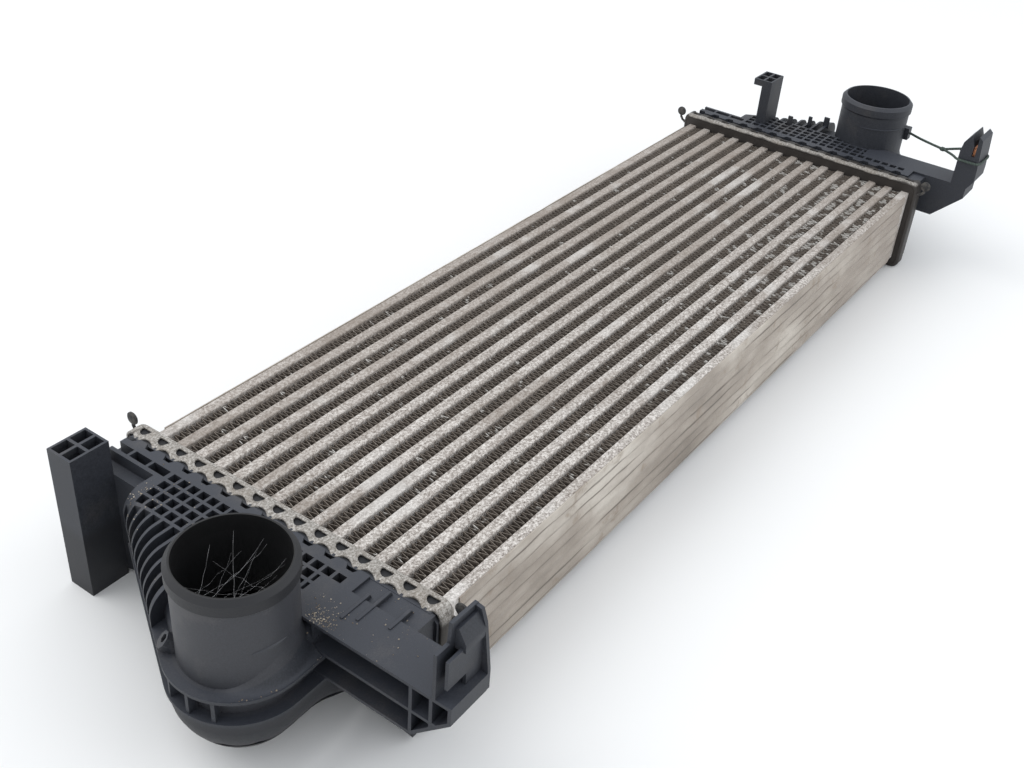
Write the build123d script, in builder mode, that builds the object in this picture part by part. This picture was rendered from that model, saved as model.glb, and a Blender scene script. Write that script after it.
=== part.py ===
from build123d import *
import os
from math import cos, radians, sin, tan

os.makedirs("parts", exist_ok=True)

# The intercooler lies flat on the floor at z = 0. X runs along its length from the
# inlet to the outlet, Y across the tubes, Z up. Sizes are in millimetres.

# core: flat tubes laid side by side, with corrugated fins between them
core_span = 666.0
core_depth = 65.2
tube_count = 15
tube_pitch = 15.42
tube_width = 7.2
tube_wall = 0.9
tube_corner = 1.0
fin_recess = 1.2
fin_sheet = 0.45
fin_flanks = 16
plate_sheet = 0.9
plate_end_gap = 11.0
plate_ridges = 7
ridge_rise = 0.6
turbulator_sheet = 0.35
turbulator_flanks = 6

# headers: pressed trays that hold the tube ends and crimp round the tank foot
header_width = 237.0
header_height = 84.0
header_depth = 13.0
header_sheet = 1.6
header_bend = 2.6
header_corner = 3.5
window_radius = 3.4
window_reach = 6.0
scallop_radius = 8.5
scallop_bite = 2.4
seat_gap = 0.2

# gaskets between header and tank foot
gasket_thickness = 2.0
gasket_width = 4.4
ear_length = 11.0
ear_thickness = 3.0
ear_neck = 2.4

# moulded tanks
tank_top = header_height
pocket_depth = 8.0
wall = 3.0
rib = 2.0
neck_out = 75.4
neck_across = -24.7
neck_to_core = 41.0
neck_radius = 31.1
neck_bore = 28.75
neck_top = 124.0
bead_radius = 32.5
bead_low = 115.0
bead_high = 121.2
rim_radius = 29.9
flange_radius = 38.8
flange_sheet = 2.0
flange_high = 65.0
flange_low = 49.0
bowl_radius = 36.5
bowl_bottom = 4.0
bowl_bevel = 8.6
shoulder_lean = 30.8
shoulder_round = 13.0
skin_round = 7.0
corner_across = 113.7
end_out = 37.8
crest_out = 30.0
side_inset = 3.8
lattice_start = 20.9
row_pitch = 7.5
rows = 4
moon_radius = 4.6
web_angles = (-26.0, -4.0, 19.0)
boss_radius = 5.0
boss_angle = 45.0

# posts
post_out = 26.0
post_width = 19.7
post_top = 99.7
post_pocket = 12.0
peg_out = 31.0
peg_across = 89.2
peg_width = 9.5
peg_cap = 18.0
peg_top = 125.0

# brackets moulded onto the tanks
bracket_out = 56.0
bracket_back = 28.0
bracket_start = -36.8
bracket_sheet = 2.0
slope_rise = 23.7
latch_width = 11.5
latch_foot = 73.0
latch_shoulder = 113.0
latch_crest = 125.0
hook_low = 108.0
hook_width = 16.0
tongue_width = 12.0
tab_low = 92.0
tab_high = 110.0
tab_reach = 14.0
arm_width = 14.0
arm_shoulder = 112.0
arm_crest = 131.0
arm_hollow = 22.0
insert_width = 2.4
insert_length = 8.0
inlet_arm = 105.7
outlet_arm = 98.7
inlet_lattice = -56.5
outlet_lattice = -87.0

# tether
cord_radius = 1.1
cord_high = 96.0
knot_high = 103.0
knot_length = 2.6
knot_back = 6.0
knot_across = 34.0
loop_high = 107.0
lug_out = 83.0
lug_length = 8.0
lug_width = 6.0
lug_height = 11.0

core_half = core_span / 2
core_z = header_height / 2
core_y = neck_across + neck_to_core
core_low = core_z - core_depth / 2
core_high = core_z + core_depth / 2
bundle_half = (tube_count - 1) * tube_pitch / 2 + tube_width / 2
fin_gap = tube_pitch - tube_width
foot_out = header_sheet + gasket_thickness
foot_half_width = header_width / 2 - header_sheet - seat_gap
foot_half_height = header_height / 2 - header_sheet - seat_gap
foot_corner = header_corner + 1.0
body_half_width = foot_half_width - 2.0
cell = tube_pitch / 2
pocket_floor = tank_top - pocket_depth
crown_start = header_depth + 0.4


def along(side, out):
    """X of a point that lies outside a header's inner face on one end."""
    return side * (core_half + out)


def tube_y(index):
    return core_y + (index - (tube_count - 1) / 2) * tube_pitch


def flip(side, points):
    """Points given as distance out and distance across, placed on one end."""
    return [(along(side, out), across) for out, across in points]


def shoulder_out(across, reach):
    """How far out the slanted shoulder lies, at a reach from the neck's axis."""
    lean = radians(shoulder_lean)
    touch_out = neck_out + reach * cos(lean)
    touch_across = neck_across + reach * sin(lean)
    return touch_out - (across - touch_across) * tan(lean)


def save(piece, name):
    piece.label = name
    export_step(piece, "parts/" + name + ".step")


# core

def make_tube(across):
    # an extruded flat tube with bevelled edges, pushed a little through both headers
    length = core_span + 2 * (foot_out - 0.2)
    with BuildPart() as tube:
        with BuildSketch(Plane.YZ.offset(-length / 2)):
            with Locations((across, core_z)):
                outer = Rectangle(tube_width, core_depth)
                chamfer(outer.vertices(), tube_corner)
                Rectangle(tube_width - 2 * tube_wall, core_depth - 2 * tube_wall,
                          mode=Mode.SUBTRACT)
        extrude(amount=length)
    return tube.part


def zigzag(start, end, low, high, count, thickness):
    """Outline of a folded sheet: out along one side of the folds and back along the other."""
    step = (end - start) / count
    rise = thickness / 2
    upper = [(start + i * step, (high if i % 2 else low) + rise) for i in range(count + 1)]
    lower = [(x, y - 2 * rise) for x, y in reversed(upper)]
    return upper + lower


def make_fin(across):
    # a corrugated strip that touches the tubes on both sides with its folds
    half = fin_gap / 2 - fin_sheet / 2 - 0.05
    height = core_depth - 2 * fin_recess
    with BuildPart() as fin:
        with BuildSketch(Plane.XY.offset(core_low + fin_recess)):
            with BuildLine():
                Polyline(*zigzag(0.4 - core_half, core_half - 0.4, across - half, across + half,
                                 fin_flanks, fin_sheet), close=True)
            make_face()
        extrude(amount=height)
    return fin.part


def make_turbulator(across):
    # a folded strip inside each tube that stirs the charge air
    half = tube_width / 2 - tube_wall - turbulator_sheet / 2 - 0.1
    reach = core_depth / 2 - tube_wall - 1.0
    length = core_span - 6.0
    with BuildPart() as strip:
        with BuildSketch(Plane.ZY.offset(-length / 2)):
            with BuildLine():
                Polyline(*zigzag(core_z - reach, core_z + reach, across - half, across + half,
                                 turbulator_flanks, turbulator_sheet), close=True)
            make_face()
        extrude(amount=length)
    return strip.part


def make_side_plate(hand):
    # a thin sheet with shallow lengthwise ridges, brazed on the outermost tube
    inner = core_y + hand * bundle_half
    outer = inner + hand * plate_sheet
    crest = outer + hand * ridge_rise
    step = core_depth / plate_ridges
    length = core_span - 2 * plate_end_gap
    edge = [(inner, core_low), (outer, core_low)]
    for i in range(plate_ridges):
        middle = core_low + (i + 0.5) * step
        edge += [(outer, middle - 0.28 * step), (crest, middle - 0.1 * step)]
        edge += [(crest, middle + 0.1 * step), (outer, middle + 0.28 * step)]
    edge += [(outer, core_high), (inner, core_high)]
    with BuildPart() as plate:
        with BuildSketch(Plane.YZ.offset(-length / 2)):
            with BuildLine():
                Polyline(*edge, close=True)
            make_face()
        extrude(amount=length)
    return plate.part


# headers

def make_header(side):
    # a deep drawn tray, pierced for the tubes, its rim windowed and scalloped for crimping
    with BuildPart() as tray:
        with BuildSketch(Plane.YZ.offset(along(side, 0))):
            with Locations((core_y, core_z)):
                rim = Rectangle(header_width, header_height)
                chamfer(rim.vertices(), header_corner)
        extrude(amount=side * header_depth)
        inner_face = tray.faces().filter_by(Axis.X).sort_by(Axis.X)[0 if side > 0 else -1]
        chamfer(inner_face.edges(), header_bend)
        with BuildSketch(Plane.YZ.offset(along(side, header_sheet))):
            with Locations((core_y, core_z)):
                bed = Rectangle(header_width - 2 * header_sheet, header_height - 2 * header_sheet)
                chamfer(bed.vertices(), header_corner - header_sheet * 0.6)
        extrude(amount=side * header_depth, mode=Mode.SUBTRACT)
        # tube holes
        with BuildSketch(Plane.YZ.offset(along(side, -1))):
            with Locations((core_y, core_z)):
                with GridLocations(tube_pitch, 1, tube_count, 1):
                    Rectangle(tube_width + 2 * seat_gap, core_depth + 2 * seat_gap)
        extrude(amount=side * (header_sheet + 3), mode=Mode.SUBTRACT)
        # crimp windows: half discs with their flat edge toward the core
        with BuildSketch(Plane.XY.offset(-1)):
            with Locations((along(side, window_reach - 1.4), core_y)):
                with GridLocations(1, tube_pitch, 1, tube_count):
                    RegularPolygon(window_radius, 6, rotation=30)
            with Locations((along(side, window_reach - 1.4 - window_radius), core_y)):
                Rectangle(2 * window_radius, header_width, mode=Mode.SUBTRACT)
        extrude(amount=header_height + 2, mode=Mode.SUBTRACT)
        # scallops in the rim between the windows
        with BuildSketch(Plane.XY.offset(-1)):
            with Locations((along(side, header_depth + scallop_radius - scallop_bite), core_y)):
                with GridLocations(1, tube_pitch, 1, tube_count + 1):
                    RegularPolygon(scallop_radius, 6, rotation=30)
        extrude(amount=header_height + 2, mode=Mode.SUBTRACT)
        # notches for the gasket's ears
        with BuildSketch(Plane.YZ.offset(along(side, header_sheet))):
            with Locations((core_y, core_high)):
                Rectangle(header_width + 2, ear_neck + 2 * seat_gap)
        extrude(amount=side * (gasket_thickness + 0.2), mode=Mode.SUBTRACT)
    return tray.part


def make_gasket(side):
    # a flat rubber ring with a pull ear at each upper corner
    middle = along(side, header_sheet + gasket_thickness / 2)
    with BuildPart() as ring:
        with BuildSketch(Plane.YZ.offset(along(side, header_sheet))):
            with Locations((core_y, core_z)):
                ring_edge = Rectangle(2 * foot_half_width - 3, 2 * foot_half_height - 3)
                chamfer(ring_edge.vertices(), foot_corner)
                Rectangle(2 * (foot_half_width - gasket_width), 2 * (foot_half_height - gasket_width),
                          mode=Mode.SUBTRACT)
        extrude(amount=side * gasket_thickness)
        with BuildSketch(Plane.YZ.offset(along(side, header_sheet))):
            with Locations((core_y, core_high)):
                Rectangle(header_width + 6, ear_neck)
                Rectangle(2 * (foot_half_width - gasket_width), ear_neck + 1, mode=Mode.SUBTRACT)
        extrude(amount=side * gasket_thickness)
        with BuildSketch(Plane.YZ.offset(middle)):
            with Locations((core_y, core_high)):
                with GridLocations(header_width + 2 + ear_length, 1, 2, 1):
                    RegularPolygon(ear_length / 2, 8, major_radius=False)
        extrude(amount=ear_thickness / 2, both=True)
    return ring.part


# tanks

def body_plan(side, reach, inset, smooth=True):
    """Plan of a tank: the foot, the slanted shoulder and the round end about the neck."""
    lean = radians(shoulder_lean)
    turn = radians(shoulder_lean - 60)
    low = (neck_out, neck_across - reach)
    bow = (neck_out + reach * cos(turn), neck_across + reach * sin(turn))
    touch = (neck_out + reach * cos(lean), neck_across + reach * sin(lean))
    steps = [radians(shoulder_lean - part) for part in (90, 60, 30)]
    bends = [(neck_out + reach * cos(step), neck_across + reach * sin(step)) for step in steps]
    half = body_half_width - inset
    shift = flange_radius - reach
    corner = neck_across + corner_across - shift / 2
    foot_end = header_depth - 4 - inset
    start = [(foot_end, core_y - half), (bracket_back - inset, core_y - half)]
    start += [(bracket_back - inset, low[1]), low]
    rest = [touch, (shoulder_out(corner, reach), corner)]
    rest += [(end_out - inset, corner), (end_out - inset, core_y + half)]
    rest += [(foot_end, core_y + half), start[0]]
    with BuildSketch() as plan:
        with BuildLine():
            Polyline(*flip(side, start))
            if smooth:
                ThreePointArc(*flip(side, [low, bow, touch]))
            else:
                Polyline(*flip(side, [low, *bends, touch]))
            Polyline(*flip(side, rest))
        make_face()
    return plan.sketch


def make_crown(side, lattice_right):
    # the deep ribbed top: a block with a rounded shoulder, cut into square cells and slots
    gore = neck_across + flange_radius + rib
    corner = neck_across + corner_across
    edge_out = lattice_start + rows * row_pitch + rib / 2
    left = core_y + body_half_width - side_inset
    plan = [(crown_start, lattice_right), (edge_out, lattice_right), (edge_out, gore)]
    plan += [(shoulder_out(gore, flange_radius), gore)]
    plan += [(shoulder_out(corner, flange_radius), corner), (crest_out, corner)]
    plan += [(crest_out, left), (crown_start, left)]
    with BuildPart() as crown:
        with BuildSketch(Plane.XY.offset(flange_high)):
            with BuildLine():
                Polyline(*flip(side, plan), close=True)
            make_face()
        extrude(amount=tank_top - flange_high)
        shoulder = [e for e in crown.edges().group_by(Axis.Z)[-1]
                    if side * e.center().X > core_half + edge_out + 1 and
                    e.center().Y > gore + 1]
        fillet(shoulder, shoulder_round)
        # square cells of the lattice
        with BuildSketch(Plane.XY.offset(flange_high)):
            for row in range(rows):
                out = lattice_start + (row + 0.5) * row_pitch
                first = core_y + (1 - tube_count) * cell
                for column in range(2 * tube_count - 1):
                    across = first + column * cell
                    if lattice_right + rib < across - cell / 2 + rib < gore + 200:
                        if row == 0 and across > neck_across + corner_across - cell:
                            continue
                        if row > 0 and across > neck_across + corner_across - cell / 2:
                            continue
                        with Locations((along(side, out), across)):
                            Rectangle(row_pitch - rib, cell - rib)
        extrude(amount=tank_top - flange_high, mode=Mode.SUBTRACT)
        # double cells of the narrow end
        with BuildSketch(Plane.XY.offset(flange_high)):
            for column in range(3):
                across = neck_across + corner_across + (column * 2 + 0.2) * cell
                with Locations((along(side, lattice_start + row_pitch / 2), across)):
                    Rectangle(row_pitch - rib, 2 * cell - rib)
        extrude(amount=tank_top - flange_high, mode=Mode.SUBTRACT)
        # slots between the shoulder ribs
        with BuildSketch(Plane.XY.offset(flange_high)):
            for column in range(9):
                across = gore + rib + (column + 0.5) * cell
                reach = shoulder_out(across - cell, flange_radius) - edge_out + 8
                with Locations((along(side, edge_out + reach / 2), across)):
                    Rectangle(reach, cell - rib)
        extrude(amount=tank_top - flange_high, mode=Mode.SUBTRACT)
        # half moons under the scallops of the header
        with BuildSketch(Plane.XY.offset(pocket_floor)):
            with Locations((along(side, crown_start), core_y)):
                with GridLocations(1, tube_pitch, 1, tube_count):
                    RegularPolygon(moon_radius, 6, rotation=30)
        extrude(amount=tank_top, mode=Mode.SUBTRACT)
    return crown.part


def make_bracket(side, tip, arm_out):
    # a tray on its side: closed toward the core, open outward, with cross ribs
    low = tip + slope_rise
    profile = [(bracket_start, tank_top), (bracket_start, flange_low), (low, flange_low)]
    profile += [(tip, flange_low + slope_rise), (tip, tank_top)]
    depth = arm_out - bracket_back
    face = along(side, arm_out)
    with BuildPart() as bracket:
        with BuildSketch(Plane.YZ.offset(along(side, bracket_back))):
            with BuildLine():
                Polyline(*profile, close=True)
            make_face()
        extrude(amount=side * depth)
        with BuildSketch(Plane.YZ.offset(face)):
            with BuildLine():
                Polyline(*profile, close=True)
            make_face()
            offset(amount=-bracket_sheet, kind=Kind.INTERSECTION, mode=Mode.REPLACE)
            with Locations((bracket_start, flange_high + rib / 2)):
                Rectangle(400, rib, mode=Mode.SUBTRACT)
            with Locations((low + 0.5, tank_top), (tip + 12, tank_top)):
                Rectangle(rib, 200, mode=Mode.SUBTRACT)
        extrude(amount=-side * (depth - bracket_sheet), mode=Mode.SUBTRACT)
    return bracket.part


def make_inlet_latch(side, tip):
    # a snap housing: inner wall, back wall, hook block and a springy tongue
    top = tank_top - bracket_sheet
    root = tip + latch_width
    back_out = bracket_back - bracket_sheet
    inner = [(bracket_out, top), (bracket_out, latch_shoulder)]
    inner += [(bracket_out - 9.6, latch_shoulder), (bracket_out - 10.6, latch_crest)]
    inner += [(back_out, latch_crest - 1), (back_out, top)]
    back = [(root, latch_foot), (root, latch_crest - 1), (root - 5.5, latch_crest - 2)]
    back += [(root - 8, latch_shoulder + 2), (tip, top + 4), (tip, latch_foot)]
    tab = bracket_back + tongue_width
    tongue = [(bracket_back, top), (bracket_back, latch_shoulder), (tab, latch_shoulder)]
    tongue += [(tab, tab_high), (tab + tab_reach, tab_high), (tab + tab_reach, tab_low)]
    tongue += [(tab, tab_low), (tab, top)]
    hook = [(root - 1, hook_low), (root - 1, latch_crest - 5), (root - 4, latch_crest - 4)]
    hook += [(root - 8.5, hook_low + 5), (root - 8.5, hook_low)]
    with BuildPart() as latch:
        with BuildSketch(Plane.XZ.offset(-root)):
            with BuildLine():
                Polyline(*flip(side, inner), close=True)
            make_face()
        extrude(amount=2.0)
        with BuildSketch(Plane.YZ.offset(along(side, back_out))):
            with BuildLine():
                Polyline(*back, close=True)
            make_face()
        extrude(amount=side * 2.2)
        with BuildSketch(Plane.XZ.offset(-(root - 5.5))):
            with BuildLine():
                Polyline(*flip(side, tongue), close=True)
            make_face()
        extrude(amount=1.8)
        with BuildSketch(Plane.YZ.offset(along(side, back_out + 1))):
            with BuildLine():
                Polyline(*hook, close=True)
            make_face()
        extrude(amount=side * hook_width)
    return latch.part


def make_outlet_latch(side, tip, arm_out):
    # a solid arm with a slot and a barbed tip, thinned by ribs on its outer side
    base = tank_top - bracket_sheet
    inner = tip + arm_width
    arm = [(inner, base), (inner, arm_shoulder + 3), (inner - 1.4, arm_crest - 8)]
    arm += [(tip + arm_width / 2, arm_crest), (tip + 3.4, arm_crest - 9), (tip + 3.4, arm_shoulder)]
    arm += [(tip + 0.6, arm_shoulder), (tip + 0.6, arm_crest), (tip - 2.8, arm_crest - 3)]
    arm += [(tip - 5, arm_shoulder - 14), (tip - 5, base + 8), (tip, base)]
    with BuildPart() as latch:
        with BuildSketch(Plane.YZ.offset(along(side, bracket_back))):
            with BuildLine():
                Polyline(*arm, close=True)
            make_face()
        extrude(amount=side * (arm_out - bracket_back))
        # hollow worked into the arm from its outer end
        with BuildSketch(Plane.YZ.offset(along(side, arm_out))):
            with Locations((tip + arm_width / 2 + 0.5, arm_shoulder - arm_hollow / 2 - rib)):
                Rectangle(arm_width - 5.5, arm_hollow)
                Rectangle(arm_width - 5.5, rib, mode=Mode.SUBTRACT)
        extrude(amount=-side * (arm_out - bracket_back - wall), mode=Mode.SUBTRACT)
    return latch.part


def make_tank(side, lattice_right, tip, arm_out):
    crown = make_crown(side, lattice_right)
    bracket = make_bracket(side, tip, arm_out)
    axis = (along(side, neck_out), neck_across)
    with BuildPart() as tank:
        # lower bowl with its bevelled floor
        with BuildSketch(Plane.XY.offset(bowl_bottom)):
            add(body_plan(side, bowl_radius, 0))
        extrude(amount=flange_low - bowl_bottom)
        foot_x = along(side, header_depth - 4)
        floor = [e for e in tank.edges().group_by(Axis.Z)[0] if abs(e.center().X - foot_x) > 1]
        chamfer([e for e in floor if side * e.center().X > core_half + end_out + 0.5], bowl_bevel)
        # upper skin, flush with the neck round the end
        with BuildSketch(Plane.XY.offset(flange_low)):
            add(body_plan(side, neck_radius, 0))
        extrude(amount=pocket_floor - flange_low)
        crest = [e for e in tank.edges().group_by(Axis.Z)[-1]
                 if side * e.center().X > core_half + end_out + 1 and e.center().Y > neck_across + 5]
        fillet(crest, skin_round)
        # two flanges that run round the end, with webs between them
        for level in (flange_low, flange_high):
            with BuildSketch(Plane.XY.offset(level)):
                add(body_plan(side, flange_radius, 0))
            extrude(amount=-flange_sheet)
        add(crown)
        add(bracket)
        # webs between the flanges, round the end and along the shoulder
        with BuildSketch(Plane.XY.offset(flange_low)):
            for angle in web_angles:
                turn = angle if side > 0 else 180 - angle
                reach = (neck_radius + flange_radius) / 2 - 1
                spot = (axis[0] + reach * cos(radians(turn)), axis[1] + reach * sin(radians(turn)))
                with Locations(Location(spot, turn)):
                    Rectangle(flange_radius - neck_radius, rib)
            for index in range(5):
                across = neck_across + flange_radius + (index + 0.1) * tube_pitch
                with Locations((along(side, shoulder_out(across, flange_radius) - 6), across)):
                    Rectangle(9, rib)
        extrude(amount=flange_high - flange_low)
        # foot held by the rim of the header
        with BuildSketch(Plane.YZ.offset(along(side, foot_out))):
            with Locations((core_y, core_z)):
                foot = Rectangle(2 * foot_half_width, 2 * foot_half_height)
                chamfer(foot.vertices(), foot_corner)
        extrude(amount=side * (crown_start - foot_out + 0.2))
        # flat shelf between the lattice and the bracket
        with BuildSketch(Plane.XY.offset(pocket_floor - wall)):
            shelf = [(crown_start - 1, core_y - body_half_width), (crown_start - 1, lattice_right + 1)]
            shelf += [(arm_out, lattice_right + 1), (arm_out, bracket_start - 20)]
            shelf += [(bracket_back, bracket_start - 20), (bracket_back, core_y - body_half_width)]
            with BuildLine():
                Polyline(*flip(side, shelf), close=True)
            make_face()
        extrude(amount=tank_top - pocket_floor + wall - rib)
        # neck: a turned profile with a bead under the rim
        profile = [(0, bowl_bottom + 6), (neck_radius, bowl_bottom + 6), (neck_radius, bead_low - 1.6)]
        profile += [(bead_radius, bead_low), (bead_radius, bead_high), (rim_radius, neck_top)]
        profile += [(0, neck_top)]
        with BuildSketch(Plane((axis[0], axis[1], 0), x_dir=(1, 0, 0), z_dir=(0, -1, 0))):
            with BuildLine():
                Polyline(*profile, close=True)
            make_face()
        revolve(axis=Axis((axis[0], axis[1], 0), (0, 0, 1)))
        # hollow: lower chamber, upper chamber, mouth toward the core and the bore
        with BuildSketch(Plane.XY.offset(bowl_bottom + wall)):
            add(body_plan(side, bowl_radius - wall, wall, False))
        extrude(amount=flange_low - flange_sheet - bowl_bottom - 2 * wall, mode=Mode.SUBTRACT)
        with BuildSketch(Plane.XY.offset(flange_low - flange_sheet - 2 * wall)):
            add(body_plan(side, neck_radius - wall, wall, False))
        extrude(amount=pocket_floor - flange_low + flange_sheet + wall, mode=Mode.SUBTRACT)
        with BuildSketch(Plane.YZ.offset(along(side, foot_out - 1))):
            with Locations((core_y, core_z)):
                Rectangle(2 * (foot_half_width - 5), 2 * (foot_half_height - 7))
        extrude(amount=side * (header_depth - foot_out + 2), mode=Mode.SUBTRACT)
        with BuildSketch(Plane.XY.offset(bowl_bottom + wall + 4)):
            with Locations(axis):
                Circle(neck_bore)
        extrude(amount=neck_top, mode=Mode.SUBTRACT)
    return tank.part


def make_post(side):
    # inlet side: a hollow-topped block that stands beside the shoulder
    left = core_y + body_half_width + 3.2
    with BuildPart() as post:
        with BuildSketch(Plane.XY):
            with Locations((along(side, end_out + post_out / 2), left - post_width / 2)):
                Rectangle(post_out, post_width)
        extrude(amount=post_top)
        with BuildSketch(Plane.XY.offset(post_top)):
            with Locations((along(side, end_out + post_out / 2), left - post_width / 2)):
                with GridLocations(post_out / 2 - 0.6, post_width / 2 - 0.6, 2, 2):
                    Rectangle(post_out / 2 - 2.6, post_width / 2 - 2.6)
        extrude(amount=-post_pocket, mode=Mode.SUBTRACT)
        # web that joins the block to the end wall of the tank
        with BuildSketch(Plane.XY.offset(bowl_bottom + 2 * bowl_bevel)):
            with Locations((along(side, end_out), left - post_width / 2)):
                Rectangle(post_width / 2 - rib, post_width - 2 * rib)
        extrude(amount=flange_high + 3 * rib - bowl_bottom - 2 * bowl_bevel)
    return post.part


def make_peg(side):
    # outlet side: a tall flat stem on the lattice with an overhanging hollow cap
    with BuildPart() as peg:
        with BuildSketch(Plane.XY.offset(pocket_floor)):
            with Locations((along(side, peg_out + post_out / 2), neck_across + peg_across + peg_width / 2)):
                Rectangle(post_out, peg_width)
        extrude(amount=peg_top - pocket_floor)
        with BuildSketch(Plane.XY.offset(peg_top)):
            with Locations((along(side, peg_out + post_out / 2), neck_across + peg_across + peg_cap / 2)):
                Rectangle(post_out, peg_cap)
        extrude(amount=-6.0)
        with BuildSketch(Plane.XY.offset(peg_top)):
            with Locations((along(side, peg_out + post_out / 2), neck_across + peg_across + peg_cap / 2)):
                with GridLocations(post_out / 2 - 0.6, peg_cap / 2 - 0.6, 2, 2):
                    Rectangle(post_out / 2 - 2.6, peg_cap / 2 - 2.6)
        extrude(amount=-4.0, mode=Mode.SUBTRACT)
    return peg.part


def make_inlet_tank():
    tip = bracket_start - inlet_arm
    turn = radians(180 - boss_angle)
    spot = (along(-1, neck_out) + neck_radius * cos(turn), neck_across + neck_radius * sin(turn))
    lean = (cos(turn) * 0.75, sin(turn) * 0.75, 0.66)
    with BuildPart() as tank:
        add(make_tank(-1, inlet_lattice, tip, bracket_out))
        add(make_inlet_latch(-1, tip))
        add(make_post(-1))
        # oval boss with a blind hole on the slope beside the neck
        with BuildSketch(Plane(origin=(spot[0], spot[1], flange_high + 1), z_dir=lean)):
            RegularPolygon(boss_radius, 8)
        extrude(amount=7.5)
        with BuildSketch(Plane(origin=(spot[0] + 4 * lean[0], spot[1] + 4 * lean[1], flange_high + 5),
                               z_dir=lean)):
            RegularPolygon(boss_radius / 2, 6)
        extrude(amount=12, mode=Mode.SUBTRACT)
    return tank.part


def make_outlet_tank():
    # drawn on the inlet end like the other tank, and mirrored to its own
    tip = bracket_start - outlet_arm
    with BuildPart() as tank:
        add(make_tank(-1, outlet_lattice, tip, bracket_out))
        add(make_outlet_latch(-1, tip, bracket_out))
        add(make_peg(-1))
        # lug on the side of the neck that holds the tether
        with BuildSketch(Plane.XY.offset(cord_high - 6)):
            with Locations((along(-1, lug_out), neck_across - neck_radius - 1)):
                Rectangle(lug_length, lug_width)
        extrude(amount=lug_height)
        mirror(about=Plane.YZ, mode=Mode.REPLACE)
    return tank.part


def make_cord():
    # tether: straight from the lug to a knot, then one loop round the bracket's arm
    tip = bracket_start - outlet_arm
    gap = cord_radius + 0.15
    lug = (along(1, lug_out), neck_across - neck_radius - 4 - 0.8, cord_high)
    knot = (along(1, bracket_out - knot_back), tip + knot_across, knot_high)
    loop = [
        (knot[0] - cord_radius, knot[1] - cord_radius, knot[2]),
        (along(1, bracket_back - gap), tip + arm_width + gap, loop_high),
        (along(1, bracket_back - gap), tip - 4.5 - gap, loop_high),
        (along(1, bracket_out + gap), tip - 4.5 - gap, loop_high),
        (along(1, bracket_out + gap), tip + arm_width + gap, loop_high),
        (knot[0] + cord_radius, knot[1] - cord_radius, knot[2]),
    ]
    with BuildPart() as cord:
        with BuildLine() as lead:
            Line(lug, knot)
        with BuildSketch(lead.line ^ 0):
            RegularPolygon(cord_radius, 6)
        sweep(path=lead.line)
        with BuildLine() as noose:
            Polyline(*loop)
        with BuildSketch(noose.line ^ 0):
            RegularPolygon(cord_radius, 6)
        sweep(path=noose.line, transition=Transition.RIGHT)
        with BuildSketch(lead.line ^ 0.98):
            RegularPolygon(2 * cord_radius, 6)
        extrude(amount=knot_length, both=True)
    return cord.part


def make_clip():
    # a small brass insert in the slot of the outlet arm
    tip = bracket_start - outlet_arm
    with BuildPart() as clip:
        with BuildSketch(Plane.YZ.offset(along(1, bracket_back + 3))):
            with Locations((tip + 2, arm_shoulder + insert_length / 2 + 0.1)):
                Rectangle(insert_width, insert_length)
        extrude(amount=bracket_out - bracket_back - 6)
    return clip.part


for number in range(tube_count):
    save(make_tube(tube_y(number)), f"tube_{number + 1:02d}")
    save(make_turbulator(tube_y(number)), f"turbulator_{number + 1:02d}")
for number in range(tube_count - 1):
    save(make_fin((tube_y(number) + tube_y(number + 1)) / 2), f"fin_row_{number + 1:02d}")
save(make_side_plate(-1), "side_plate_right")
save(make_side_plate(1), "side_plate_left")
for side, name in ((-1, "inlet"), (1, "outlet")):
    save(make_header(side), name + "_header")
    save(make_gasket(side), name + "_gasket")
save(make_inlet_tank(), "inlet_tank")
save(make_outlet_tank(), "outlet_tank")
save(make_cord(), "tether_cord")
save(make_clip(), "arm_clip")
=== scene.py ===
import math
import random
import bmesh
import bpy
from mathutils import Matrix, Vector, bvhtree, geometry, noise


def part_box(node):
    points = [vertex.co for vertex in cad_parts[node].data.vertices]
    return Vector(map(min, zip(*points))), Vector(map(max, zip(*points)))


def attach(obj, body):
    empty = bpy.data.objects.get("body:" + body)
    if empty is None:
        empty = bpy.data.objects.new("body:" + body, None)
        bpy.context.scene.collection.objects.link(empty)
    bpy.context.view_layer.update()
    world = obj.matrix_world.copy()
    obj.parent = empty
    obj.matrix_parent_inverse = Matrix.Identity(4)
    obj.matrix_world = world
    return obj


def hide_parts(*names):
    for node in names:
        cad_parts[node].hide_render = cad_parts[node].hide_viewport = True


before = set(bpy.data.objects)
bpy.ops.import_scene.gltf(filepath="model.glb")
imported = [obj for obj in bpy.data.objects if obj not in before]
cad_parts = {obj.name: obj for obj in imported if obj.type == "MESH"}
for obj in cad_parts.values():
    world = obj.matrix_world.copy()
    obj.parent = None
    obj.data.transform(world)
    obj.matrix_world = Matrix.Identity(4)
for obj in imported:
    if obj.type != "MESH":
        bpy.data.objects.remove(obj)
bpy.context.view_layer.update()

# Tubes: fifteen flat aluminium tubes, extruded with rounded edges, that carry the charge air.
# They run the whole length and are brazed into both headers. Years of road spray have left
# their exposed edges chalky grey, with a fine dark speckle and brown patches.


class Wire:
    """A shader socket that can be written in sums."""

    def __init__(self, shade, socket):
        self.shade = shade
        self.socket = socket

    def _sum(self, operation, first, second):
        return self.shade.node("ShaderNodeMath", {"operation": operation}, {0: first, 1: second})

    def __add__(self, other):
        return self._sum("ADD", self, other)

    __radd__ = __add__

    def __sub__(self, other):
        return self._sum("SUBTRACT", self, other)

    def __rsub__(self, other):
        return self._sum("SUBTRACT", other, self)

    def __mul__(self, other):
        return self._sum("MULTIPLY", self, other)

    __rmul__ = __mul__


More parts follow.
